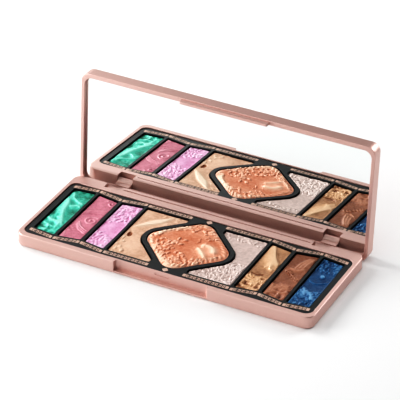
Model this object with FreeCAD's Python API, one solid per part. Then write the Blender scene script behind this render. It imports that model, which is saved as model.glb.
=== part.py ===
"""Eyeshadow palette: a shallow moulded base and a mirrored lid, open on a rear pin hinge.

Millimetres, +Z up.  X runs along the length, -Y is the front, and the origin is the centre
of the base's flat underside.  The lid's parts are built closed and then turned open.
"""
import FreeCAD
import Part
import math
import os

V = FreeCAD.Vector

# ---- overall ----------------------------------------------------------------------------
LENGTH = 190.0
DEPTH = 74.7
BASE_HEIGHT = 8.0
LID_HEIGHT = 8.8
CLOSED_GAP = 0.1
OPEN_ANGLE = 93.0
CORNER_RADIUS = 5.5
FRONT = -DEPTH / 2
REAR = DEPTH / 2

# ---- hinge ------------------------------------------------------------------------------
AXIS_Z = 2.95
AXIS_TO_REAR = 2.2
AXIS_Y = REAR - AXIS_TO_REAR
KNUCKLE_RADIUS = 2.7
KNUCKLE_INNER = 63.5
KNUCKLE_OUTER = 73.3
KNUCKLE_SIDE_GAP = 0.3
KNUCKLE_FRONT_GAP = 0.35
ARM_FRONT = 0.7
PIN_RADIUS = 0.8
PIN_RUNNING_CLEARANCE = 0.05
PIN_IN_END_BLOCK = 3.2
PIN_IN_CENTRE_BLOCK = 3.5

# ---- base shell -------------------------------------------------------------------------
SIDE_RIM = 2.5
FRONT_RIM = 3.8
REAR_LEDGE = 8.7
FLOOR_THICKNESS = 1.3
WELL_CORNER_RADIUS = 4.8
BOTTOM_FILLET = 1.2
TOP_EDGE_FILLET = 0.7
INNER_EDGE_FILLET = 0.3
GROOVE_HALF_LENGTH = 61.5
GROOVE_WIDTH = 0.8
GROOVE_DEPTH = 1.0
GROOVE_FROM_AXIS = 1.6

# ---- thumb notch and catch --------------------------------------------------------------
NOTCH_HALF_LENGTH = 29.6
NOTCH_DEPTH = 3.1
NOTCH_FLOOR = 1.75
NOTCH_NOSE_RADIUS = 0.9
NOTCH_CORNER_RADIUS = 2.2
SLOT_HALF_LENGTH = 4.5
SLOT_DEPTH = 0.4
SLOT_LOW = 4.9
SLOT_HIGH = 6.8
TONGUE_HALF_LENGTH = 28.3
TONGUE_SETBACK = 0.7
TONGUE_THICKNESS = 1.6
TONGUE_DROP = 3.4
TONGUE_CORNER_RADIUS = 1.0
RIDGE_HALF_LENGTH = 4.1
RIDGE_PROUD = 0.5
RIDGE_HEIGHT = 1.0

# ---- black tray, pans and powder --------------------------------------------------------
TRAY_GAP = 0.15
TRAY_TOP = 7.4
TRAY_DECK = 1.2
TRAY_WALL = 0.9
TRAY_EDGE_FILLET = 0.25
PANS_Y = -1.55
PAN_GAP = 0.6
PAN_WALL = 0.35
PAN_RIM = 6.1
PAD_THICKNESS = 0.1
PAD_INSET = 2.4
POWDER_TOP = 6.7
POWDER_INSET = 0.7
CORAL_RIM = 6.9
CORAL_TOP = 8.3
PAN_CORNER_RADIUS = 1.25

# ---- ornament foil ----------------------------------------------------------------------
FOIL_THICKNESS = 0.06
FOIL_WIDTH = 2.6
FOIL_CENTRE_Y = -1.9
DOT_HALF_SIZE = 2.1
DOT_CORNER_RADIUS = 0.6
DOT_FROM_CENTRE = 28.3

# ---- lid --------------------------------------------------------------------------------
LID_SIDE_RIM = 2.3
LID_FRONT_RIM = 2.8
LID_REAR_RIM = 2.3
LID_INNER_RADIUS = 4.9
LID_TOP_FILLET = 1.5
LID_RIM_FILLET = 0.35
MIRROR_RECESS = 2.5
MIRROR_THICKNESS = 1.2
MIRROR_GAP = 0.15
TAPE_THICKNESS = 0.2
LID_ROOF = 2.0
SHELF_WIDTH = 3.0
RIB_WIDTH = 2.0
LID_POCKETS = 4

RIM_PLANE = BASE_HEIGHT + CLOSED_GAP
LID_TOP = RIM_PLANE + LID_HEIGHT
TRAY_BOTTOM = FLOOR_THICKNESS
POCKET_FLOOR = TRAY_BOTTOM + TRAY_WALL
PAN_BOTTOM = POCKET_FLOOR + PAD_THICKNESS
PAN_WELL_FLOOR = PAN_BOTTOM + PAN_WALL

# Half the plan depth of the wells where their ends follow the tray's wave.
DEEP = 25.75
CREST = 26.05
TROUGH = 23.55
END = 24.45

# Right-hand wells from the centre outwards: inner edge, outer edge, half depth at each.
RIGHT_PANS = {
    "ochre": (41.75, 56.05, DEEP, TROUGH),
    "brown": (58.15, 72.75, TROUGH, CREST),
    "blue": (74.45, 88.85, CREST, END),
}
LEFT_PANS = {
    "pink": RIGHT_PANS["ochre"],
    "mauve": RIGHT_PANS["brown"],
    "green": RIGHT_PANS["blue"],
}
WIDE_PAN_INNER = 11.75
WIDE_PAN_OUTER = 40.15
DIAMOND_HALF_LENGTH = 30.0
DIAMOND_HALF_DEPTH = 29.6
DIAMOND_RADIUS = 9.45
DIAMOND_SPACING = 2.7

# Foil segments on the right, from the centre outwards: x and distance from the foil centre line.
FOIL_SEGMENTS = (
    (11.2, 28.1, 40.2, 28.1),
    (41.2, 28.5, 56.7, 25.8),
    (57.5, 25.8, 73.2, 28.7),
    (74.2, 28.7, 89.8, 26.5),
)


# ---- helpers ----------------------------------------------------------------------------
def outline(corners):
    """Closed flat face through (x, y, radius) corners, each rounded by its radius."""
    count = len(corners)
    ends = []
    for i, (x, y, radius) in enumerate(corners):
        corner = V(x, y, 0)
        before = V(*corners[i - 1][:2], 0) - corner
        after = V(*corners[(i + 1) % count][:2], 0) - corner
        before.normalize()
        after.normalize()
        half = before.getAngle(after) / 2
        reach = radius / math.tan(half)
        middle = before + after
        middle.normalize()
        top = corner + middle * (radius / math.sin(half) - radius)
        ends.append((corner + before * reach, top, corner + after * reach))
    edges = []
    for i, (start, top, stop) in enumerate(ends):
        edges.append(Part.Arc(start, top, stop).toShape())
        edges.append(Part.makeLine(stop, ends[(i + 1) % count][0]))
    return Part.Face(Part.Wire(edges))


def rectangle(x0, x1, y0, y1, radius):
    """Rounded rectangle as corners for outline()."""
    return [(x0, y0, radius), (x1, y0, radius), (x1, y1, radius), (x0, y1, radius)]


def raised(face, low, high):
    """Flat face extruded from z = low to z = high."""
    solid = face.extrude(V(0, 0, high - low))
    solid.translate(V(0, 0, low))
    return solid


def box(x0, x1, y0, y1, z0, z1):
    """Box between two corners."""
    return Part.makeBox(x1 - x0, y1 - y0, z1 - z0, V(x0, y0, z0))


def grown(face, distance):
    """Face with its outline moved out (or in, if negative) by a distance."""
    return face.makeOffset2D(distance, 0, False, False)


def mirrored(shape):
    """Shape mirrored left to right."""
    return shape.mirror(V(0, 0, 0), V(1, 0, 0))


def edges_at(shape, height, face=None):
    """Edges that lie flat at a height, and on a face's outline if one is given."""
    found = []
    for edge in shape.Edges:
        limits = edge.BoundBox
        if abs(limits.ZMin - height) > 1e-4 or abs(limits.ZMax - height) > 1e-4:
            continue
        if face is not None:
            middle = edge.valueAt((edge.FirstParameter + edge.LastParameter) / 2)
            on_outline = Part.Vertex(V(middle.x, middle.y, 0)).distToShape(face.OuterWire)[0]
            if on_outline > 1e-3:
                continue
        found.append(edge)
    return found


def along_x(radius, x0, x1):
    """Cylinder on the hinge axis."""
    return Part.makeCylinder(radius, x1 - x0, V(x0, AXIS_Y, AXIS_Z), V(1, 0, 0))


# ---- outlines ---------------------------------------------------------------------------
def body_face():
    """Plan outline that base and lid share."""
    return outline(rectangle(-LENGTH / 2, LENGTH / 2, FRONT, REAR, CORNER_RADIUS))


def cavity_face():
    """Plan outline of the base's cavity."""
    half = LENGTH / 2 - SIDE_RIM
    return outline(rectangle(-half, half, FRONT + FRONT_RIM, REAR - REAR_LEDGE, WELL_CORNER_RADIUS))


def narrow_pan_face(inner, outer, inner_half, outer_half):
    """Four-sided pan whose two ends slope with the wave."""
    corners = [
        (inner, PANS_Y - inner_half, PAN_CORNER_RADIUS),
        (outer, PANS_Y - outer_half, PAN_CORNER_RADIUS),
        (outer, PANS_Y + outer_half, PAN_CORNER_RADIUS),
        (inner, PANS_Y + inner_half, PAN_CORNER_RADIUS),
    ]
    return outline(corners)


def diamond_face(spacing=0.0):
    """Rounded diamond, or the line that runs a spacing outside it."""
    stretch = spacing * math.hypot(1, DIAMOND_HALF_LENGTH / DIAMOND_HALF_DEPTH)
    length = DIAMOND_HALF_LENGTH + stretch
    depth = length * DIAMOND_HALF_DEPTH / DIAMOND_HALF_LENGTH
    radius = DIAMOND_RADIUS + spacing
    corners = [
        (length, PANS_Y, radius),
        (0, PANS_Y + depth, radius),
        (-length, PANS_Y, radius),
        (0, PANS_Y - depth, radius),
    ]
    return outline(corners)


def wide_pan_face():
    """Right-hand wide pan: a rectangle hollowed on its inner side round the diamond."""
    block = outline(rectangle(WIDE_PAN_INNER, WIDE_PAN_OUTER, PANS_Y - DEEP, PANS_Y + DEEP,
                              PAN_CORNER_RADIUS))
    return block.cut(diamond_face(DIAMOND_SPACING)).Faces[0]


def pan_faces():
    """Plan outline of each well in the tray, by colour."""
    wide = wide_pan_face()
    faces = {"coral": diamond_face(), "silver": wide, "cream": mirrored(wide).Faces[0]}
    for colour, sizes in RIGHT_PANS.items():
        faces[colour] = narrow_pan_face(*sizes)
    for colour, sizes in LEFT_PANS.items():
        faces[colour] = mirrored(narrow_pan_face(*sizes)).Faces[0]
    return faces


# ---- base -------------------------------------------------------------------------------
def thumb_notch():
    """Cutter for the open-topped notch in the front wall."""
    half = NOTCH_HALF_LENGTH
    nose = NOTCH_NOSE_RADIUS
    plan = outline(rectangle(-half, half, FRONT - half, FRONT + NOTCH_DEPTH, NOTCH_CORNER_RADIUS))
    flare = Part.makeBox(nose, nose, BASE_HEIGHT, V(0, 0, 0))
    flare = flare.cut(Part.makeCylinder(nose, BASE_HEIGHT, V(nose, nose, 0)))
    flare.translate(V(half, FRONT, NOTCH_FLOOR))
    cutter = raised(plan, NOTCH_FLOOR, BASE_HEIGHT + 1)
    return cutter.fuse([flare, mirrored(flare)])


def base_shell():
    """Base: rims, floor, notch, rear ledge rounded about the hinge, and hinge blocks."""
    shell = raised(body_face(), 0, BASE_HEIGHT)
    shell = shell.makeFillet(BOTTOM_FILLET, edges_at(shell, 0))
    shell = shell.makeFillet(TOP_EDGE_FILLET, edges_at(shell, BASE_HEIGHT))

    cavity = cavity_face()
    shell = shell.cut(raised(cavity, FLOOR_THICKNESS, BASE_HEIGHT + 1))
    shell = shell.makeFillet(INNER_EDGE_FILLET, edges_at(shell, BASE_HEIGHT, cavity))

    half = LENGTH / 2
    rear_corner = box(-half, half, AXIS_Y, REAR + 1, AXIS_Z, BASE_HEIGHT + 1)
    shell = shell.cut(rear_corner.cut(along_x(BASE_HEIGHT - AXIS_Z, -half, half)))

    shell = shell.cut(thumb_notch())
    slot = box(-SLOT_HALF_LENGTH, SLOT_HALF_LENGTH, FRONT + NOTCH_DEPTH - 1,
               FRONT + NOTCH_DEPTH + SLOT_DEPTH, SLOT_LOW, SLOT_HIGH)
    groove_start = AXIS_Y - GROOVE_FROM_AXIS
    groove = box(-GROOVE_HALF_LENGTH, GROOVE_HALF_LENGTH, groove_start, groove_start + GROOVE_WIDTH,
                 BASE_HEIGHT - GROOVE_DEPTH, BASE_HEIGHT + 1)
    shell = shell.cut([slot, groove])

    cutout = box(KNUCKLE_INNER - KNUCKLE_SIDE_GAP, KNUCKLE_OUTER + KNUCKLE_SIDE_GAP,
                 AXIS_Y - KNUCKLE_RADIUS - KNUCKLE_FRONT_GAP, REAR + 1, -1, BASE_HEIGHT + 1)
    pin_length = KNUCKLE_OUTER - KNUCKLE_INNER + PIN_IN_END_BLOCK + PIN_IN_CENTRE_BLOCK
    bore = along_x(PIN_RADIUS, KNUCKLE_INNER - pin_length, KNUCKLE_OUTER + PIN_IN_END_BLOCK)
    return shell.cut([cutout, mirrored(cutout), bore, mirrored(bore)])


def hinge_pin():
    """Right-hand steel pin."""
    start = KNUCKLE_INNER - PIN_IN_CENTRE_BLOCK
    stop = KNUCKLE_OUTER + PIN_IN_END_BLOCK
    pin = along_x(PIN_RADIUS, start, stop)
    return pin.makeChamfer(PIN_RADIUS / 4, [edge for edge in pin.Edges if edge.Closed])


# ---- tray and pans ----------------------------------------------------------------------
def insert_tray(wells):
    """Black tray: thin deck on a skirt, with a cup under each well."""
    plan = grown(cavity_face(), -TRAY_GAP)
    deck = raised(plan, TRAY_TOP - TRAY_DECK, TRAY_TOP)
    deck = deck.makeFillet(TRAY_EDGE_FILLET, edges_at(deck, TRAY_TOP))
    skirt = raised(plan, TRAY_BOTTOM, TRAY_TOP - TRAY_DECK)
    skirt = skirt.cut(raised(grown(plan, -TRAY_WALL), 0, BASE_HEIGHT))
    cups = [raised(grown(well, TRAY_WALL), TRAY_BOTTOM, TRAY_TOP - TRAY_DECK) for well in wells]
    tray = deck.fuse([skirt] + cups)
    return tray.cut([raised(well, POCKET_FLOOR, BASE_HEIGHT) for well in wells])


def pan(well, rim):
    """Thin metal pan that stands in a well."""
    outer = grown(well, -PAN_GAP)
    inner = grown(outer, -PAN_WALL)
    return raised(outer, PAN_BOTTOM, rim).cut(raised(inner, PAN_WELL_FLOOR, rim + 1))


def powder(well, rim, top):
    """Pressed cake that fills a pan and stands a little over its rim."""
    inside = raised(grown(well, -PAN_GAP - PAN_WALL), PAN_WELL_FLOOR, rim)
    crown = raised(grown(well, -POWDER_INSET), rim, top)
    return inside.fuse(crown)


def pan_adhesive(wells):
    """Glue pads under the pans."""
    pads = [raised(grown(well, -PAD_INSET), POCKET_FLOOR, PAN_BOTTOM) for well in wells]
    return Part.makeCompound(pads)


# ---- foil -------------------------------------------------------------------------------
def foil_bands():
    """Ornament bands in front of and behind the pans, in sloping segments."""
    bands = []
    for x0, rise0, x1, rise1 in FOIL_SEGMENTS:
        for side in (-1, 1):
            for end in (-1, 1):
                first, last = side * x0, side * x1
                y0, y1 = FOIL_CENTRE_Y + end * rise0, FOIL_CENTRE_Y + end * rise1
                points = [
                    V(first, y0 - FOIL_WIDTH / 2, 0),
                    V(last, y1 - FOIL_WIDTH / 2, 0),
                    V(last, y1 + FOIL_WIDTH / 2, 0),
                    V(first, y0 + FOIL_WIDTH / 2, 0),
                ]
                face = Part.Face(Part.makePolygon(points + points[:1]))
                bands.append(raised(face, TRAY_TOP, TRAY_TOP + FOIL_THICKNESS))
    return Part.makeCompound(bands)


def foil_dots():
    """Two rounded diamonds on the centre line."""
    dots = []
    for end in (-1, 1):
        y = FOIL_CENTRE_Y + end * DOT_FROM_CENTRE
        corners = [
            (DOT_HALF_SIZE, y, DOT_CORNER_RADIUS),
            (0, y + DOT_HALF_SIZE, DOT_CORNER_RADIUS),
            (-DOT_HALF_SIZE, y, DOT_CORNER_RADIUS),
            (0, y - DOT_HALF_SIZE, DOT_CORNER_RADIUS),
        ]
        dots.append(raised(outline(corners), TRAY_TOP, TRAY_TOP + FOIL_THICKNESS))
    return Part.makeCompound(dots)


# ---- lid, built closed ------------------------------------------------------------------
def lid_inner_face():
    """Plan outline inside the lid's rim."""
    half = LENGTH / 2 - LID_SIDE_RIM
    return outline(rectangle(-half, half, FRONT + LID_FRONT_RIM, REAR - LID_REAR_RIM,
                             LID_INNER_RADIUS))


def lid_pockets(floor):
    """Hollows behind the mirror, between a shelf and cross ribs."""
    inner = lid_inner_face().BoundBox
    width = (inner.XLength - 2 * SHELF_WIDTH - (LID_POCKETS - 1) * RIB_WIDTH) / LID_POCKETS
    pockets = []
    for i in range(LID_POCKETS):
        x0 = inner.XMin + SHELF_WIDTH + i * (width + RIB_WIDTH)
        face = outline(rectangle(x0, x0 + width, inner.YMin + SHELF_WIDTH, inner.YMax - SHELF_WIDTH,
                                 LID_INNER_RADIUS / 2))
        pockets.append(raised(face, floor - 1, LID_TOP - LID_ROOF))
    return pockets


def edges_at_ends(tongue, half_length, tip):
    """Edges across the tongue's two lower corners."""
    found = []
    for edge in tongue.Edges:
        limits = edge.BoundBox
        at_tip = abs(limits.ZMax - tip) < 1e-4
        at_end = limits.XLength < 1e-4 and abs(abs(limits.XMin) - half_length) < 1e-4
        if at_tip and at_end:
            found.append(edge)
    return found


def latch_tongue():
    """Tongue that drops into the notch, with the ridge that meets the catch slot."""
    back = FRONT + TONGUE_SETBACK + TONGUE_THICKNESS
    tip = RIM_PLANE - TONGUE_DROP
    tongue = box(-TONGUE_HALF_LENGTH, TONGUE_HALF_LENGTH, FRONT + TONGUE_SETBACK, back,
                 tip, RIM_PLANE + 1)
    tongue = tongue.makeFillet(TONGUE_CORNER_RADIUS, edges_at_ends(tongue, TONGUE_HALF_LENGTH, tip))
    middle = (SLOT_LOW + SLOT_HIGH) / 2
    points = [
        V(-RIDGE_HALF_LENGTH, back, middle - RIDGE_HEIGHT),
        V(-RIDGE_HALF_LENGTH, back + RIDGE_PROUD, middle),
        V(-RIDGE_HALF_LENGTH, back, middle + RIDGE_HEIGHT),
        V(-RIDGE_HALF_LENGTH, back - TONGUE_THICKNESS / 2, middle),
    ]
    ridge = Part.Face(Part.makePolygon(points + points[:1])).extrude(V(2 * RIDGE_HALF_LENGTH, 0, 0))
    return tongue.fuse(ridge)


def hinge_arm():
    """Right-hand knuckle and the arm that joins it to the lid's rear wall."""
    knuckle = along_x(KNUCKLE_RADIUS, KNUCKLE_INNER, KNUCKLE_OUTER)
    arm = box(KNUCKLE_INNER, KNUCKLE_OUTER, AXIS_Y - ARM_FRONT, REAR, AXIS_Z, RIM_PLANE + 1)
    bore = along_x(PIN_RADIUS + PIN_RUNNING_CLEARANCE, KNUCKLE_INNER - 1, KNUCKLE_OUTER + 1)
    return knuckle.fuse(arm).cut(bore)


def lid_shell():
    """Lid: rim, mirror seat on a ribbed shelf, roof, latch tongue and hinge arms."""
    shell = raised(body_face(), RIM_PLANE, LID_TOP)
    shell = shell.makeFillet(LID_TOP_FILLET, edges_at(shell, LID_TOP))
    shell = shell.makeFillet(LID_RIM_FILLET, edges_at(shell, RIM_PLANE))
    seat = RIM_PLANE + MIRROR_RECESS + MIRROR_THICKNESS + TAPE_THICKNESS
    inner = lid_inner_face()
    shell = shell.cut(raised(inner, RIM_PLANE - 1, seat))
    shell = shell.makeFillet(LID_RIM_FILLET, edges_at(shell, RIM_PLANE, inner))
    shell = shell.cut(lid_pockets(seat))
    arm = hinge_arm()
    return shell.fuse([latch_tongue(), arm, mirrored(arm)])


def mirror():
    """Glass mirror inside the lid's rim."""
    face = grown(lid_inner_face(), -MIRROR_GAP)
    low = RIM_PLANE + MIRROR_RECESS
    return raised(face, low, low + MIRROR_THICKNESS)


def mirror_tape():
    """Adhesive frame between the mirror and its shelf."""
    face = grown(lid_inner_face(), -MIRROR_GAP)
    low = RIM_PLANE + MIRROR_RECESS + MIRROR_THICKNESS
    sheet = raised(face, low, low + TAPE_THICKNESS)
    return sheet.cut(raised(grown(face, -SHELF_WIDTH), low - 1, low + 1))


def opened(shape):
    """Lid part turned from closed to the open rest pose."""
    turned = shape.copy()
    turned.rotate(V(0, AXIS_Y, AXIS_Z), V(1, 0, 0), -OPEN_ANGLE)
    return turned


# ---- assembly ---------------------------------------------------------------------------
def build():
    """Every node of the palette, by name."""
    wells = pan_faces()
    nodes = {"base_shell": base_shell(), "insert_tray": insert_tray(list(wells.values()))}
    for colour, well in wells.items():
        raised_cake = colour == "coral"
        rim = CORAL_RIM if raised_cake else PAN_RIM
        top = CORAL_TOP if raised_cake else POWDER_TOP
        nodes["pan_" + colour] = pan(well, rim)
        nodes["powder_" + colour] = powder(well, rim, top)
    nodes["pan_adhesive"] = pan_adhesive(list(wells.values()))
    nodes["foil_bands"] = foil_bands()
    nodes["foil_dots"] = foil_dots()
    nodes["hinge_pin_right"] = hinge_pin()
    nodes["hinge_pin_left"] = mirrored(hinge_pin())
    nodes["lid_shell"] = opened(lid_shell())
    nodes["mirror"] = opened(mirror())
    nodes["mirror_tape"] = opened(mirror_tape())
    return nodes


os.makedirs("parts", exist_ok=True)
for node, shape in build().items():
    shape.exportStep("parts/" + node + ".step")
    print(node, len(shape.Solids), round(shape.Volume, 1), shape.isValid())
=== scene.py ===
"""Looks of an open eyeshadow palette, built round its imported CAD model.

The shells, tray, mirror, pans and pins are the CAD parts with materials.  The pressed powders
and the foil ornament are modelled here and stand for their plain CAD nodes.  Metres throughout;
relief and ornament are worked out in millimetres and scaled by MM.
"""

import math

import bmesh
import bpy
import numpy as np
from mathutils import Matrix, Vector

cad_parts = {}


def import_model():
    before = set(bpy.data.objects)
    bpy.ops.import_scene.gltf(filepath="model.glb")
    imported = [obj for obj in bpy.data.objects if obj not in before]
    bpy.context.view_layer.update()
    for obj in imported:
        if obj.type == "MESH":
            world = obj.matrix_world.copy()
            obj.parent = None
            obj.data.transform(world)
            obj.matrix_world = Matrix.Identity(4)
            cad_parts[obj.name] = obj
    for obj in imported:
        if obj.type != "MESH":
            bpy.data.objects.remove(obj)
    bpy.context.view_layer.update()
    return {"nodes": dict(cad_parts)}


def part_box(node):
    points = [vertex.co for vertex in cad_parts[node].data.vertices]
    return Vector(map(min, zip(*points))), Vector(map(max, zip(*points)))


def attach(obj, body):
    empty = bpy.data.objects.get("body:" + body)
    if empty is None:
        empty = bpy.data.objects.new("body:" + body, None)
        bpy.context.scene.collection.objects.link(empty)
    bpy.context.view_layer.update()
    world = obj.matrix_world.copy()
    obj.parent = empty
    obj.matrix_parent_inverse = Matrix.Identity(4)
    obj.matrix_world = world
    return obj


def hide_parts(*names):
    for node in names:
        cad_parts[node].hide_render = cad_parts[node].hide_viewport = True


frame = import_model()

MM = 0.001

# ---- camera and light -------------------------------------------------------------------
CAMERA_AZIMUTH = 26.34
CAMERA_ELEVATION = 31.87
CAMERA_ROLL = 0.92
CAMERA_LENS = 226.5
CAMERA_DISTANCE = 1.4559
CAMERA_AIM = Vector((0.0, 0.0132, 0.0304))
WORLD_STRENGTH = 0.03
FLOOR_SIZE = 6.0
# Soft lights: place, width and watts.
LIGHTS = (
    ("left", (-0.85, 0.10, 0.65), 0.5, 8.0),
    ("left_low", (-0.90, -0.50, 0.25), 0.5, 7.5),
    ("front_left", (-0.65, -0.75, 0.45), 0.6, 2.0),
    ("front", (0.0, -1.0, 0.6), 0.7, 1.0),
    ("top_front", (0.0, -0.50, 1.00), 0.6, 2.5),
    ("back_right", (0.50, 0.80, 0.50), 0.5, 6.0),
    ("back_left", (-0.62, 0.62, 0.42), 0.5, 1.1),
    ("top_back", (-0.10, 0.55, 1.00), 0.4, 1.2),
)
WHITE_POINT = 1.0
TONE_POWER = 1.6

# ---- powder -----------------------------------------------------------------------------
GRID_STEP = 0.25
EDGE_ROUNDING = 0.45
RELIEF_STRENGTH = 1.8
CREST_LIMIT = 0.6
DEEPEST_CREASE = -1.3
PAN_WALL_STEP = 0.25


def linear(red, green, blue):
    """Linear colour with alpha from 0-255 screen values."""
    parts = [value / 255 for value in (red, green, blue)]
    return tuple(p / 12.92 if p <= 0.04045 else ((p + 0.055) / 1.055) ** 2.4 for p in parts) + (1.0,)


# ---- materials --------------------------------------------------------------------------
def add(tree, kind, inputs=None, **settings):
    """New shader node with its settings, and with values or links on its inputs."""
    made = tree.nodes.new(kind)
    for name, value in settings.items():
        setattr(made, name, value)
    for name, value in (inputs or {}).items():
        if isinstance(value, bpy.types.NodeSocket):
            tree.links.new(value, made.inputs[name])
        else:
            made.inputs[name].default_value = value
    return made


def new_material(name):
    """Empty node material, its tree and its place coordinates."""
    made = bpy.data.materials.new(name)
    made.use_nodes = True
    tree = made.node_tree
    tree.nodes.clear()
    place = add(tree, "ShaderNodeTexCoord").outputs["Object"]
    return made, tree, place


def noise(tree, place, size, detail=2.0, roughness=0.5):
    """Noise whose features are about a size in metres."""
    return add(tree, "ShaderNodeTexNoise",
               {"Vector": place, "Scale": 1 / size, "Detail": detail, "Roughness": roughness}).outputs[0]


def remap(tree, value, low, high):
    """Value from 0-1 spread over low to high."""
    return add(tree, "ShaderNodeMapRange", {"Value": value, "To Min": low, "To Max": high}).outputs[0]


def blend_colours(tree, share, first, second):
    """First colour where the share is 0 and second where it is 1."""
    mixer = add(tree, "ShaderNodeMix", data_type="RGBA")
    for socket, value in ((mixer.inputs[0], share), (mixer.inputs[6], first), (mixer.inputs[7], second)):
        if isinstance(value, bpy.types.NodeSocket):
            tree.links.new(value, socket)
        else:
            socket.default_value = value
    return mixer.outputs[2]


def bump(tree, height, depth, normal=None):
    """Normal from a height of a depth in metres."""
    inputs = {"Height": height, "Distance": depth, "Strength": 1.0}
    if normal is not None:
        inputs["Normal"] = normal
    return add(tree, "ShaderNodeBump", inputs).outputs[0]


def finish_material(tree, inputs):
    """Principled surface with the given inputs."""
    surface = add(tree, "ShaderNodeBsdfPrincipled", inputs)
    add(tree, "ShaderNodeOutputMaterial", {"Surface": surface.outputs[0]})


def rose_gold_material():
    """Satin metallised lacquer over moulded plastic."""
    made, tree, place = new_material("rose_gold")
    broad = noise(tree, place, 0.03)
    grain = noise(tree, place, 0.00035, detail=3)
    colour = blend_colours(tree, broad, linear(214, 177, 168), linear(218, 182, 174))
    finish_material(tree, {
        "Base Color": colour,
        "Metallic": 0.75,
        "Roughness": remap(tree, broad, 0.42, 0.50),
        "Normal": bump(tree, grain, 0.000004),
        "Coat Weight": 0.25,
        "Coat Roughness": 0.35,
    })
    return made


def black_tray_material():
    """Fine-grained black plastic."""
    made, tree, place = new_material("black_tray")
    broad = noise(tree, place, 0.02)
    grain = noise(tree, place, 0.0003, detail=3)
    colour = blend_colours(tree, broad, linear(15, 19, 21), linear(21, 26, 28))
    finish_material(tree, {
        "Base Color": colour,
        "Roughness": remap(tree, broad, 0.34, 0.42),
        "Normal": bump(tree, grain, 0.000006),
    })
    return made


def mirror_material():
    """Silvered glass with the faintest haze."""
    made, tree, place = new_material("mirror")
    haze = noise(tree, place, 0.012, detail=4)
    finish_material(tree, {
        "Base Color": linear(246, 249, 248),
        "Metallic": 1.0,
        "Roughness": remap(tree, haze, 0.0, 0.012),
    })
    return made


def metal_material(name, colour, roughness, grain_size):
    """Plain metal with a fine grain: pans and pins."""
    made, tree, place = new_material(name)
    grain = noise(tree, place, grain_size, detail=3)
    finish_material(tree, {
        "Base Color": colour,
        "Metallic": 1.0,
        "Roughness": remap(tree, grain, roughness - 0.06, roughness + 0.06),
        "Normal": bump(tree, grain, 0.000004),
    })
    return made


def adhesive_material():
    """Milky glue film."""
    made, tree, place = new_material("adhesive")
    mottle = noise(tree, place, 0.002, detail=3)
    finish_material(tree, {
        "Base Color": blend_colours(tree, mottle, linear(214, 208, 196), linear(232, 228, 220)),
        "Roughness": remap(tree, mottle, 0.45, 0.6),
        "Normal": bump(tree, mottle, 0.00002),
    })
    return made


def foil_material():
    """Hot-stamped pale rose-gold foil."""
    made, tree, place = new_material("foil")
    press = noise(tree, place, 0.0008, detail=3)
    finish_material(tree, {
        "Base Color": blend_colours(tree, press, linear(204, 166, 150), linear(226, 196, 178)),
        "Metallic": 0.25,
        "Roughness": remap(tree, press, 0.35, 0.50),
        "Normal": bump(tree, press, 0.000012),
    })
    return made


def powder_material(name, shade, pearl):
    """Pressed powder with painted shade: dark in its creases and pale with a painted highlight on its
    crests, with pearl and fine glints.
    """
    dark, middle, light = (linear(*colour) for colour in shade)
    made, tree, place = new_material(name)
    # Painted shade and painted highlight: the relief attribute picks the dark colour in creases and the
    # light one on crests.
    relief = add(tree, "ShaderNodeAttribute", attribute_name="relief").outputs["Fac"]
    grain = noise(tree, place, 0.0005, detail=3, roughness=0.6)
    blotch = noise(tree, place, 0.0018, detail=3)
    # Painted shade from the relief, stirred with random blotches of the powder's own tone.
    painted_shade_and_mottle = add(tree, "ShaderNodeMath", {0: relief, 1: remap(tree, blotch, -0.16, 0.16)},
                  operation="ADD").outputs[0]
    ramp = add(tree, "ShaderNodeValToRGB", {"Fac": painted_shade_and_mottle})
    ramp.color_ramp.elements[0].color = dark
    ramp.color_ramp.elements[0].position = 0.15
    ramp.color_ramp.elements[1].color = light
    ramp.color_ramp.elements[1].position = 0.90
    ramp.color_ramp.elements.new(0.52).color = middle
    flakes = add(tree, "ShaderNodeTexVoronoi", {"Vector": place, "Scale": 1500.0})
    spread = add(tree, "ShaderNodeSeparateColor", {"Color": flakes.outputs["Color"]})
    tilted = bump(tree, flakes.outputs["Distance"], 0.00010)
    finish_material(tree, {
        "Base Color": ramp.outputs["Color"],
        "Metallic": pearl,
        "Roughness": remap(tree, spread.outputs[0], 0.28, 0.60),
        "Normal": bump(tree, grain, 0.00009, tilted),
    })
    return made


# ---- relief: heights in mm over places in mm --------------------------------------------
def field(x, y, size, seed, octaves=1):
    """Smooth random heights of about -1 to 1 with features of a size."""
    total = np.zeros_like(x)
    for octave in range(octaves):
        table = np.random.default_rng(seed + octave).uniform(-1, 1, (64, 64))
        u, v = x * 2 ** octave / size, y * 2 ** octave / size
        i, j = np.floor(u).astype(int), np.floor(v).astype(int)
        a, b = u - i, v - j
        a, b = a * a * (3 - 2 * a), b * b * (3 - 2 * b)
        low = table[i % 64, j % 64] * (1 - a) + table[(i + 1) % 64, j % 64] * a
        high = table[i % 64, (j + 1) % 64] * (1 - a) + table[(i + 1) % 64, (j + 1) % 64] * a
        total += (low * (1 - b) + high * b) / 2 ** octave
    return total


def turned(x, y, degrees):
    """Places turned so that the first number runs along a direction."""
    c, s = math.cos(math.radians(degrees)), math.sin(math.radians(degrees))
    return x * c + y * s, -x * s + y * c


def smooth_line(points, steps=8):
    """Places along a smooth curve through a few points."""
    p = np.array(points, float)
    p = np.vstack([2 * p[0] - p[1], p, 2 * p[-1] - p[-2]])
    line = []
    for a, b, c, d in zip(p, p[1:], p[2:], p[3:]):
        for t in np.linspace(0, 1, steps, endpoint=False):
            line.append(0.5 * (2 * b + (c - a) * t + (2 * a - 5 * b + 4 * c - d) * t ** 2
                               + (3 * b - a - 3 * c + d) * t ** 3))
    line.append(p[-2])
    return np.array(line)


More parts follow.
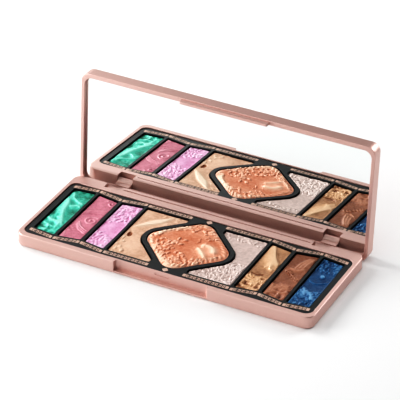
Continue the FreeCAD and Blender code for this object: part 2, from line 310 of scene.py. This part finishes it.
def from_line(x, y, line):
    """Distance to a line, which side (1 left, -1 right), and the share of the way along it."""
    best = np.full(x.shape, 1e9)
    side = np.ones(x.shape)
    along = np.zeros(x.shape)
    for i, (start, stop) in enumerate(zip(line, line[1:])):
        run = stop - start
        share = ((x - start[0]) * run[0] + (y - start[1]) * run[1]) / (run @ run)
        share = np.clip(share, 0, 1)
        dx, dy = x - start[0] - share * run[0], y - start[1] - share * run[1]
        distance = np.hypot(dx, dy)
        nearer = distance < best
        best = np.where(nearer, distance, best)
        side = np.where(nearer, np.where(run[0] * dy - run[1] * dx > 0, 1, -1), side)
        along = np.where(nearer, (i + share) / (len(line) - 1), along)
    return best, side, along


def fold(x, y, points, height, left, right):
    """Drape fold with a sharp crest along a curve; left and right are its two widths."""
    distance, side, along = from_line(x, y, smooth_line(points))
    ends = np.clip(np.minimum(along, 1 - along) * 6 + 0.25, 0, 1)
    return height * ends * np.exp(-distance / np.where(side > 0, left, right))


def ridge(x, y, points, height, width):
    """Rounded ridge along a curve, or a groove if the height is negative."""
    distance, _, along = from_line(x, y, smooth_line(points))
    ends = np.clip(np.minimum(along, 1 - along) * 8 + 0.2, 0, 1)
    return height * ends * np.exp(-(distance / width) ** 2)


def scroll(x, y, cx, cy, radius, turns, start, height, width, hand=1):
    """Spiral ridge that winds in from a radius."""
    angles = np.linspace(0, turns * 2 * math.pi, int(turns * 20))
    spread = radius * (1 - 0.82 * angles / angles[-1])
    turn = math.radians(start) + hand * angles
    line = np.stack([cx + spread * np.cos(turn), cy + spread * np.sin(turn)], 1)
    distance, _, _ = from_line(x, y, line)
    return height * np.exp(-(distance / width) ** 2)


def leaf(x, y, cx, cy, degrees, length, width, height):
    """Leaf with a sunk vein."""
    a, b = turned(x - cx, y - cy, degrees)
    a, b = a / (length / 2), b / (width / 2)
    body = np.sqrt(np.clip(1 - a ** 2 - np.abs(b) ** 1.5, 0, 1))
    return height * body * (1 - 0.45 * np.exp(-(b / 0.3) ** 2))


def foliage(x, y, seed, patch, count, length, height, lean=45.0, spread=60.0):
    """Overlapping leaves strewn where a patch (0 to 1) allows them."""
    random = np.random.default_rng(seed)
    total = np.zeros_like(x)
    flat_x, flat_y, flat_patch = x.ravel(), y.ravel(), patch.ravel()
    for _ in range(count):
        k = random.integers(len(flat_x))
        size = length * random.uniform(0.7, 1.3)
        degrees = lean + random.uniform(-spread, spread)
        tall = height * random.uniform(0.6, 1.1)
        if random.uniform() < flat_patch[k]:
            one = leaf(x, y, flat_x[k], flat_y[k], degrees, size, size * 0.45, tall)
            total = np.maximum(total, one)
    return total


def twig(x, y, points, count, length, height):
    """Stem with leaves in pairs."""
    line = smooth_line(points)
    total = ridge(x, y, points, height * 0.7, 0.25)
    for share in np.linspace(0.08, 0.95, count):
        k = min(int(share * (len(line) - 1)), len(line) - 2)
        run = line[k + 1] - line[k]
        heading = math.degrees(math.atan2(run[1], run[0]))
        for hand in (-1, 1):
            degrees = heading + hand * 48
            reach = length * 0.45
            cx = line[k][0] + reach * math.cos(math.radians(degrees))
            cy = line[k][1] + reach * math.sin(math.radians(degrees))
            total = np.maximum(total, leaf(x, y, cx, cy, degrees, length, length * 0.42, height))
    return total


def crumple(x, y, size, seed, height):
    """Creased cloth: sharp crests between smooth hollows."""
    warp_x = x + 0.35 * size * field(x, y, size * 1.3, seed + 20)
    warp_y = y + 0.35 * size * field(x, y, size * 1.3, seed + 40)
    coarse = 1 - 2.2 * np.abs(field(warp_x, warp_y, size, seed))
    fine = 1 - 2.2 * np.abs(field(warp_x, warp_y, size * 0.45, seed + 7))
    return height * (coarse + 0.4 * fine)


def band(value, low, high, soft=1.5):
    """1 between two values, falling to 0 over a soft width."""
    return np.clip((value - low) / soft + 0.5, 0, 1) * np.clip((high - value) / soft + 0.5, 0, 1)


# Each relief takes places measured from the front left corner of its pan.
def relief_green(x, y):
    """Draped cloth in long folds."""
    height = 0.30 * (crumple(x, y, 5.5, 3, 1.0) * (0.35 + 0.65 * band(y, 0, 17, 4)))
    height += fold(x, y, [(0.3, 40), (3.5, 35), (5.0, 27), (8.0, 19), (11.5, 12)], 0.9, 1.0, 2.6)
    height += fold(x, y, [(1.0, 47), (4.5, 41), (9.0, 38), (13, 36)], 0.6, 0.9, 1.8)
    height += fold(x, y, [(6.0, 31), (9.5, 34), (13, 33)], 0.5, 1.0, 1.6)
    height += fold(x, y, [(0.5, 16), (4.5, 13.5), (8.0, 14), (11.5, 10)], 0.6, 0.8, 1.8)
    height += fold(x, y, [(5.0, 9), (6.0, 5), (5.5, 1)], 0.5, 0.8, 1.6)
    return height + 0.10 * band(y, 38, 52, 3) * crumple(x, y, 2.2, 9, 1.0)


def relief_mauve(x, y):
    """Scroll lines on a smooth ground."""
    height = 0.08 * field(x, y, 6, 12)
    height += scroll(x, y, 9.5, 23.0, 4.6, 1.4, 60, 0.30, 0.5)
    for shift in (0.0, 1.6, 3.0):
        height += ridge(x, y, [(0, 27 + shift), (5, 31 + shift), (13, 33.5 + shift)], 0.28, 0.4)
        height += ridge(x, y, [(3, 20 - shift), (7, 15 - shift), (13, 12 - shift)], 0.28, 0.45)
    height += scroll(x, y, 11.5, 45.0, 4.2, 1.2, 150, 0.30, 0.5, -1)
    return height + foliage(x, y, 31, band(x + 0.7 * y, -2, 11, 2), 160, 2.6, 0.32)


def relief_pink(x, y):
    """Fine foliage at both ends and a smooth middle."""
    rear = band(y, 28 + 0.2 * x, 60, 3)
    front = band(y, -5, 17 - 0.45 * x, 3)
    height = 0.10 * field(x, y, 5, 51)
    return height + foliage(x, y, 52, np.maximum(rear, front), 420, 2.3, 0.42, 55, 50)


def relief_cream(x, y):
    """Fronds at the rear, a leaf, and foliage in the front corner."""
    height = 0.10 * field(x, y, 9, 61, 2)
    for k in range(5):
        points = [(1 + 1.5 * k, 29 + 2.4 * k), (8 + 1.5 * k, 35 + 2.4 * k), (15 + 1.2 * k, 42 + 1.8 * k)]
        height += fold(x, y, points, 0.40, 0.5, 1.1)
    height += leaf(x, y, 3.2, 21.5, 100, 6.0, 3.0, -0.7)
    height += 0.6 * foliage(x, y, 63, band(x + 0.5 * y, -2, 11, 2), 180, 2.6, 0.6)
    return height + foliage(x, y, 64, 0.5 * band(y, 40, 60, 4), 130, 2.4, 0.25)


def relief_silver(x, y):
    """Sparkling foliage round a smooth middle."""
    patch = np.maximum(band(y, -5, 21, 5), 0.6 * band(x + 0.25 * y, -5, 19, 3))
    height = 0.08 * field(x, y, 7, 71)
    return height + foliage(x, y, 72, np.maximum(patch, 0.45 * band(y, 44, 60)), 760, 2.0, 0.42, 50, 90)


def relief_ochre(x, y):
    """One heavy diagonal fold over a rumpled front."""
    height = 0.12 * field(x, y, 6, 81)
    height += fold(x, y, [(2.0, 50), (5.0, 43), (8.5, 36), (12.5, 31)], 0.9, 0.8, 4.0)
    height += fold(x, y, [(12.0, 32), (8.5, 31), (9.5, 26), (12.0, 25)], 0.6, 1.2, 0.7)
    height += fold(x, y, [(6.0, 26), (8.0, 29), (9.5, 28)], 0.4, 0.6, 0.9)
    height += ridge(x, y, [(1.0, 19), (5, 18.0), (9, 19.5)], -0.35, 0.4)
    rumpled = band(y, -5, 17, 3)
    return height + rumpled * crumple(x, y, 2.8, 83, 0.28) + 0.7 * foliage(x, y, 84, rumpled, 90, 2.6, 0.4)


def relief_brown(x, y):
    """Feather folds, a twig across the middle and a rumpled front."""
    height = 0.06 * field(x, y, 6, 91)
    for k in range(3):
        ray = [(6.0 + 2 * k, 33 + k), (7.0 + 2 * k, 40 + k), (10 + 1.5 * k, 47)]
        height += fold(x, y, ray, 0.55, 0.5, 1.0)
    height += fold(x, y, [(3.0, 33), (8.0, 32), (12, 35)], 0.5, 0.8, 0.9)
    height += twig(x, y, [(1.5, 30), (5, 28), (9, 24.5), (12, 22.5)], 7, 2.3, 0.42)
    rumpled = band(y, -5, 16, 3)
    return height + rumpled * crumple(x, y, 3.2, 93, 0.26)


def relief_blue(x, y):
    """Flowers strewn at the rear, a garland and swirls at the front."""
    height = 0.08 * field(x, y, 5, 101)
    strewn = np.maximum(band(y, 38, 60, 3), 0.85 * band(y, -5, 18, 3))
    height += foliage(x, y, 102, strewn, 330, 2.4, 0.5, 20, 90)
    height += leaf(x, y, 7.0, 33, 130, 4.0, 2.6, 0.7)
    height += ridge(x, y, [(1, 27), (5, 25), (9, 26), (12, 29)], 0.25, 0.5)
    height += fold(x, y, [(3.5, 15), (7, 14.5), (10, 11), (10.5, 8)], 0.7, 0.7, 0.9)
    return height + fold(x, y, [(1.5, 19), (4, 15), (5, 10)], 0.5, 0.6, 0.9)


def relief_coral(x, y):
    """Medallion: roped border, foliage, a smooth ground and a glossy swirl."""
    cx, cy = x - x.mean(), y - y.mean()
    reach = (np.abs(cx) ** 1.25 + np.abs(cy) ** 1.25) ** 0.8
    angle = np.arctan2(cy, cx)
    height = 0.10 * field(x, y, 8, 111)
    rope = np.exp(-((reach - 23.5) / 1.7) ** 2)
    height += 0.35 * rope * (0.6 + 0.4 * np.sin(angle * 46 + reach * 1.1))
    left = band(cx - 0.3 * cy, -30, -5, 4) * band(cy, -30, 3, 4)
    height += foliage(x, y, 112, np.maximum(left, band(cy, -30, -10, 4)), 520, 3.0, 0.5, 60, 60)
    cluster = band(np.hypot(cx - 6.5, (cy - 8) * 0.7), -1, 4.2, 1)
    height += 0.9 * foliage(x, y, 113, cluster, 160, 1.8, 0.5, 70, 15)
    height += foliage(x, y, 114, band(cy + 0.3 * np.abs(cx), 15, 30, 2), 230, 2.6, 0.45, 30, 60)
    height += fold(cx, cy, [(7, 3), (11, 4), (15, 2.5), (18, -2)], 0.9, 1.4, 1.6)
    height += fold(cx, cy, [(6, 0), (9, -2), (12, -5), (15, -8)], 0.7, 1.2, 1.4)
    height += fold(cx, cy, [(-21, 2), (-18, 8), (-12, 14), (-5, 18)], 0.5, 1.8, 0.8)
    for k in range(9):
        start = (8 + 1.3 * k, -15.5 + 1.0 * k)
        stop = (10 + 1.4 * k, -10.5 + 1.0 * k)
        height += ridge(cx, cy, [start, stop], 0.35, 0.35)
    return height


# Dark, middle and light screen colours (dark is painted shade in creases, light a painted highlight on
# crests), pearl, and relief of each powder.
POWDERS = {
    "green": (((2, 104, 82), (82, 212, 184), (168, 250, 230)), 0.15, relief_green),
    "mauve": (((134, 50, 70), (214, 132, 150), (238, 178, 190)), 0.10, relief_mauve),
    "pink": (((208, 106, 162), (255, 200, 236), (255, 236, 248)), 0.10, relief_pink),
    "cream": (((158, 100, 66), (236, 192, 164), (254, 232, 208)), 0.12, relief_cream),
    "coral": (((204, 112, 72), (255, 190, 160), (255, 228, 200)), 0.12, relief_coral),
    "silver": (((140, 114, 106), (232, 208, 200), (252, 236, 230)), 0.20, relief_silver),
    "ochre": (((124, 72, 36), (226, 176, 136), (246, 208, 172)), 0.15, relief_ochre),
    "brown": (((78, 36, 20), (160, 104, 78), (200, 146, 118)), 0.15, relief_brown),
    "blue": (((3, 36, 74), (26, 90, 138), (116, 168, 208)), 0.25, relief_blue),
}


# ---- powder meshes ----------------------------------------------------------------------
def top_outline(node):
    """Corner points in mm round the flat top of a CAD node, in order."""
    mesh = frame["nodes"][node].data
    top = max(v.co.z for v in mesh.vertices)
    places = {}
    ends = {}
    for face in mesh.polygons:
        if all(abs(mesh.vertices[i].co.z - top) < 1e-6 for i in face.vertices):
            keys = [tuple(round(c / MM, 4) for c in mesh.vertices[i].co.xy) for i in face.vertices]
            for start, stop in zip(keys, keys[1:] + keys[:1]):
                places[(start, stop)] = True
    for start, stop in places:
        if (stop, start) not in places:
            ends[start] = stop
    first = next(iter(ends))
    loop = [first]
    while ends[loop[-1]] != first:
        loop.append(ends[loop[-1]])
    return np.array(loop)


def span(loop, value, axis):
    """Lowest and highest place where a straight cut crosses an outline."""
    start, stop = loop, np.roll(loop, -1, axis=0)
    crossed = (start[:, axis] - value) * (stop[:, axis] - value) <= 0
    crossed &= np.abs(stop[:, axis] - start[:, axis]) > 1e-9
    start, stop = start[crossed], stop[crossed]
    share = (value - start[:, axis]) / (stop[:, axis] - start[:, axis])
    across = start[:, 1 - axis] + share * (stop[:, 1 - axis] - start[:, 1 - axis])
    return across.min(), across.max()


def grid_over(loop, axis):
    """Grid of places that fills an outline, in rows along one axis."""
    low, high = loop[:, axis].min() + 0.01, loop[:, axis].max() - 0.01
    rows = np.linspace(low, high, int((high - low) / GRID_STEP) + 1)
    close = loop[(np.abs(loop[:, axis] - low) < 3) | (np.abs(loop[:, axis] - high) < 3)][:, axis]
    rows = np.unique(np.round(np.concatenate([rows, np.clip(close, low, high)]), 2))
    spans = np.array([span(loop, row, axis) for row in rows])
    across = int((spans[:, 1] - spans[:, 0]).max() / GRID_STEP) + 1
    share = np.linspace(0, 1, across)
    other = spans[:, :1] + (spans[:, 1:] - spans[:, :1]) * share
    along = np.repeat(rows[:, None], across, axis=1)
    return (other, along) if axis == 1 else (along, other)


def edge_distance(x, y, loop):
    """Distance from each place to an outline."""
    best = np.full(x.shape, 1e9)
    for start, stop in zip(loop, np.roll(loop, -1, axis=0)):
        run = stop - start
        share = np.clip(((x - start[0]) * run[0] + (y - start[1]) * run[1]) / (run @ run), 0, 1)
        best = np.minimum(best, np.hypot(x - start[0] - share * run[0], y - start[1] - share * run[1]))
    return best


def powder_heights(colour, x, y, loop, top, rim):
    """Height in mm of a powder's surface over its pan."""
    sculpt = POWDERS[colour][2]
    relief = RELIEF_STRENGTH * sculpt(x - loop[:, 0].min(), y - loop[:, 1].min())
    relief = relief - np.percentile(relief, 60)
    inside = edge_distance(x, y, loop)
    relief = CREST_LIMIT * np.tanh(relief / CREST_LIMIT) * (relief > 0) + relief * (relief <= 0)
    if colour == "coral":
        crown = rim + 0.25 + (top - rim - 0.55) * (1 - np.exp(-inside / 3.0))
    else:
        crown = np.full(x.shape, top - 0.1)
    shoulder = np.clip(1 - inside / EDGE_ROUNDING, 0, 1)
    height = crown + np.maximum(relief, DEEPEST_CREASE) * np.clip(inside / 0.6, 0, 1) - 0.25 * shoulder ** 2
    return np.maximum(height, np.where(inside < 1.0, rim + 0.05, rim - 0.9)), relief


def ring_of(rows, columns):
    """Vertex numbers round the border of a grid, in order."""
    number = np.arange(rows * columns).reshape(rows, columns)
    return np.concatenate([number[0, :-1], number[:-1, -1], number[-1, :0:-1], number[:0:-1, 0]])


def moved_in(ring, distance):
    """Closed ring of places moved in by a distance."""
    tangent = np.roll(ring, -1, axis=0) - np.roll(ring, 1, axis=0)
    length = np.maximum(np.hypot(tangent[:, 0], tangent[:, 1]), 1e-9)
    normal = np.stack([-tangent[:, 1], tangent[:, 0]], 1) / length[:, None]
    area = np.sum(ring[:, 0] * np.roll(ring[:, 1], -1) - np.roll(ring[:, 0], -1) * ring[:, 1])
    return ring + normal * distance * np.sign(area)


def powder_piece(colour):
    """Closed cake of one powder with its embossed top."""
    node = "powder_" + colour
    low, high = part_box(node)
    bottom, top = low.z / MM, high.z / MM
    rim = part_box("pan_" + colour)[1].z / MM
    loop = top_outline(node)
    narrow = loop[:, 0].max() - loop[:, 0].min() < 20
    x, y = grid_over(loop, 0 if narrow else 1)
    z, relief = powder_heights(colour, x, y, loop, top, rim)

    rows, columns = x.shape
    points = np.stack([x.ravel(), y.ravel(), z.ravel()], 1)
    ring = ring_of(rows, columns)
    edge = points[ring, :2]
    inner = moved_in(edge, PAN_WALL_STEP)
    skirt = [(edge, rim), (inner, rim), (inner, bottom)]
    for places, level in skirt:
        points = np.vstack([points, np.column_stack([places, np.full(len(places), level)])])

    faces = []
    for i in range(rows - 1):
        for j in range(columns - 1):
            k = i * columns + j
            faces.append((k, k + 1, k + columns + 1, k + columns))
    rings = [ring] + [rows * columns + n * len(ring) + np.arange(len(ring)) for n in range(len(skirt))]
    for upper, lower in zip(rings, rings[1:]):
        for k in range(len(ring)):
            n = (k + 1) % len(ring)
            faces.append((int(upper[k]), int(lower[k]), int(lower[n]), int(upper[n])))
    faces.append(tuple(int(k) for k in rings[-1][::-1]))

    mesh = bpy.data.meshes.new("cake_" + colour)
    mesh.from_pydata((points * MM).tolist(), [], faces)
    # Painted shade: colour share from the relief heights, dark in creases and light on crests; the cake's
    # sides and bottom get a darker fixed share.
    painted_crease_shade = np.full(len(points), 0.3)
    painted_crease_shade[:rows * columns] = np.clip(0.5 + 0.5 * relief.ravel(), 0, 1)
    mesh.attributes.new("relief", "FLOAT", "POINT").data.foreach_set("value", painted_crease_shade)
    return set_down(mesh, "cake_" + colour, "base", node, node)


def tidy_normals(mesh, sharp_degrees=50.0):
    """Faces turned outwards, smooth but for sharp corners."""
    work = bmesh.new()
    work.from_mesh(mesh)
    bmesh.ops.recalc_face_normals(work, faces=work.faces)
    work.to_mesh(mesh)
    work.free()
    mesh.shade_smooth()
    mesh.set_sharp_from_angle(angle=math.radians(sharp_degrees))


def set_down(mesh, name, body, node, slot):
    """Object of a mesh that rides on a body, stands for a CAD node and takes a slot's finish."""
    tidy_normals(mesh)
    made = bpy.data.objects.new(name, mesh)
    bpy.context.scene.collection.objects.link(made)
    mesh.materials.append(MATERIALS[slot])
    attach(made, body)
    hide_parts(node)
    return made


# ---- foil ornament ----------------------------------------------------------------------
RAIL_WIDTH = 0.22
LINK_STROKE = 0.55
LINK_PITCH = 2.3
TIE_LENGTH = 1.8


class Plates:
    """Thin flat shapes gathered into one mesh, placed on a band of the tray."""

    def __init__(self):
        self.points = []
        self.faces = []

    def strip(self, left, right, low, high):
        """Solid between two lines of the same count of places."""
        first = len(self.points)
        count = len(left)
        for a, b in zip(left, right):
            self.points += [(*a, low), (*b, low), (*b, high), (*a, high)]
        for k in range(count - 1):
            here, after = first + 4 * k, first + 4 * (k + 1)
            for side in range(4):
                other = (side + 1) % 4
                self.faces.append((here + side, here + other, after + other, after + side))
        last = first + 4 * (count - 1)
        self.faces.append(tuple(first + k for k in (3, 2, 1, 0)))
        self.faces.append(tuple(last + k for k in range(4)))

    def plate(self, outline, low, high):
        """Solid on a convex outline."""
        first, count = len(self.points), len(outline)
        self.points += [(*place, low) for place in outline] + [(*place, high) for place in outline]
        for k in range(count):
            n = (k + 1) % count
            self.faces.append((first + k, first + n, first + count + n, first + count + k))
        self.faces.append(tuple(first + count + k for k in range(count)))
        self.faces.append(tuple(first + k for k in range(count))[::-1])


def bands_of(node):
    """Four plan corners in mm of each flat band in a CAD node, and its low and high level."""
    mesh = frame["nodes"][node].data
    low, high = (corner.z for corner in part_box(node))
    groups = []
    for face in mesh.polygons:
        corners = [mesh.vertices[i].co for i in face.vertices]
        if all(abs(c.z - high) < 1e-6 for c in corners):
            keys = {tuple(round(v / MM, 3) for v in c.xy) for c in corners}
            joined = [g for g in groups if g & keys]
            for group in joined:
                keys |= group
                groups.remove(group)
            groups.append(keys)
    return [sorted(group) for group in groups], low / MM, high / MM


def ornament(plates, corners, low, high):
    """Rails, end ties and a chain of links along one band."""
    ends = [sorted(corners[:2], key=lambda c: c[1]), sorted(corners[2:], key=lambda c: c[1])]
    (a, b), (c, d) = (np.array(end) for end in ends)
    length = np.hypot(*((c + d) / 2 - (a + b) / 2))
    half = (b - a)[1] / 2

    def spot(s, t):
        """Place at s mm along the band and t mm off its centre line."""
        share = s / length
        return tuple(((a + b) / 2) * (1 - share) + ((c + d) / 2) * share + np.array((0, t)))

    def stroke(line, width):
        """Ribbon of a width along (s, t) places."""
        line = np.array(line)
        run = np.gradient(line, axis=0)
        run /= np.hypot(run[:, 0], run[:, 1])[:, None]
        off = np.stack([-run[:, 1], run[:, 0]], 1) * width / 2
        plates.strip([spot(*p) for p in line + off], [spot(*p) for p in line - off], low, high)

    for side in (-1, 1):
        stroke([(s, side * (half - RAIL_WIDTH / 2)) for s in (0, length)], RAIL_WIDTH)
    inner = half - RAIL_WIDTH
    for start, direction in ((0, 1), (length, -1)):
        tab = [(start, -half), (start + direction * TIE_LENGTH, -half * 0.7),
               (start + direction * TIE_LENGTH, half * 0.7), (start, half)]
        plates.plate([spot(*p) for p in tab], low, high)

    room = length - 2 * TIE_LENGTH
    count = max(1, round(room / LINK_PITCH))
    pitch = room / count
    sweep = np.linspace(-0.75 * math.pi, 0.75 * math.pi, 12)
    for k in range(count):
        middle = TIE_LENGTH + (k + 0.5) * pitch
        hand = 1 if k % 2 else -1
        curl = [(middle + hand * pitch * 0.30 * math.cos(w), inner * 0.66 * math.sin(w)) for w in sweep]
        stroke(curl, LINK_STROKE)
        bead = [(middle - hand * pitch * 0.28 + 0.3 * math.cos(w), 0.3 * math.sin(w)) for w in sweep[::2]]
        plates.plate([spot(*p) for p in bead], low, high)


def foil_piece():
    """All the foil bands of the tray as one piece."""
    plates = Plates()
    groups, low, high = bands_of("foil_bands")
    for corners in groups:
        ornament(plates, corners, low, high)
    mesh = bpy.data.meshes.new("foil_ornament")
    mesh.from_pydata([tuple(c * MM for c in point) for point in plates.points], [], plates.faces)
    return set_down(mesh, "foil_ornament", "base", "foil_bands", "foil")


# ---- stage ------------------------------------------------------------------------------
def floor():
    """Plain pale floor."""
    half = FLOOR_SIZE / 2
    mesh = bpy.data.meshes.new("floor")
    mesh.from_pydata([(-half, -half, 0), (half, -half, 0), (half, half, 0), (-half, half, 0)], [],
                     [(0, 1, 2, 3)])
    made = bpy.data.objects.new("floor", mesh)
    bpy.context.scene.collection.objects.link(made)
    material, tree, place = new_material("floor")
    finish_material(tree, {"Base Color": (0.93, 0.93, 0.93, 1), "Roughness": 0.8,
                           "Normal": bump(tree, noise(tree, place, 0.002), 0.00001)})
    mesh.materials.append(material)


def soft_light(name, place, size, power):
    """Square area light that faces the object."""
    lamp = bpy.data.lights.new(name, "AREA")
    lamp.size = size
    lamp.energy = power
    made = bpy.data.objects.new(name, lamp)
    made.location = place
    made.rotation_euler = (-Vector(place)).to_track_quat("-Z", "Y").to_euler()
    bpy.context.scene.collection.objects.link(made)


def world():
    """Even pale surroundings."""
    made = bpy.data.worlds.new("studio")
    made.use_nodes = True
    made.node_tree.nodes["Background"].inputs["Color"].default_value = (1, 1, 1, 1)
    made.node_tree.nodes["Background"].inputs["Strength"].default_value = WORLD_STRENGTH
    bpy.context.scene.world = made


def camera():
    """Camera on the aim point, from the front right and above."""
    azimuth, elevation = math.radians(CAMERA_AZIMUTH), math.radians(CAMERA_ELEVATION)
    back = Vector((math.sin(azimuth) * math.cos(elevation), -math.cos(azimuth) * math.cos(elevation),
                   math.sin(elevation)))
    data = bpy.data.cameras.new("camera")
    data.lens = CAMERA_LENS
    data.sensor_width = 36.0
    data.clip_start = 0.05
    data.clip_end = 50.0
    made = bpy.data.objects.new("camera", data)
    bpy.context.scene.collection.objects.link(made)
    turn = (-back).to_track_quat("-Z", "Y").to_matrix().to_4x4()
    roll = Matrix.Rotation(math.radians(CAMERA_ROLL), 4, "Z")
    made.matrix_world = Matrix.Translation(CAMERA_AIM + back * CAMERA_DISTANCE) @ turn @ roll
    bpy.context.scene.camera = made


def tone():
    """Photographic tone: bright places roll off softly to white at the white point."""
    settings = bpy.context.scene.view_settings
    settings.view_transform = "Standard"
    settings.use_curve_mapping = True
    mapping = settings.curve_mapping
    mapping.white_level = (WHITE_POINT,) * 3
    curve = mapping.curves[3]
    white = WHITE_POINT ** TONE_POWER
    for share in (0.06, 0.15, 0.3, 0.5, 0.75):
        bright = (share * WHITE_POINT) ** TONE_POWER
        curve.points.new(share, bright / (bright + 1) * (white + 1) / white)
    mapping.update()


# ---- assembly ---------------------------------------------------------------------------
MATERIALS = {
    "rose_gold": rose_gold_material(),
    "black_tray": black_tray_material(),
    "mirror": mirror_material(),
    "pan_metal": metal_material("pan_metal", linear(196, 194, 190), 0.35, 0.0004),
    "steel": metal_material("steel", linear(150, 148, 146), 0.3, 0.0005),
    "adhesive": adhesive_material(),
    "foil": foil_material(),
}
for colour, (shade, pearl, _) in POWDERS.items():
    MATERIALS["powder_" + colour] = powder_material("powder_" + colour, shade, pearl)

for node in frame["nodes"].values():
    for place in node.material_slots:
        place.material = MATERIALS[place.material.name]

for colour in POWDERS:
    powder_piece(colour)
foil_piece()

floor()
world()
for name, place, size, power in LIGHTS:
    soft_light(name, place, size, power)
camera()
tone()
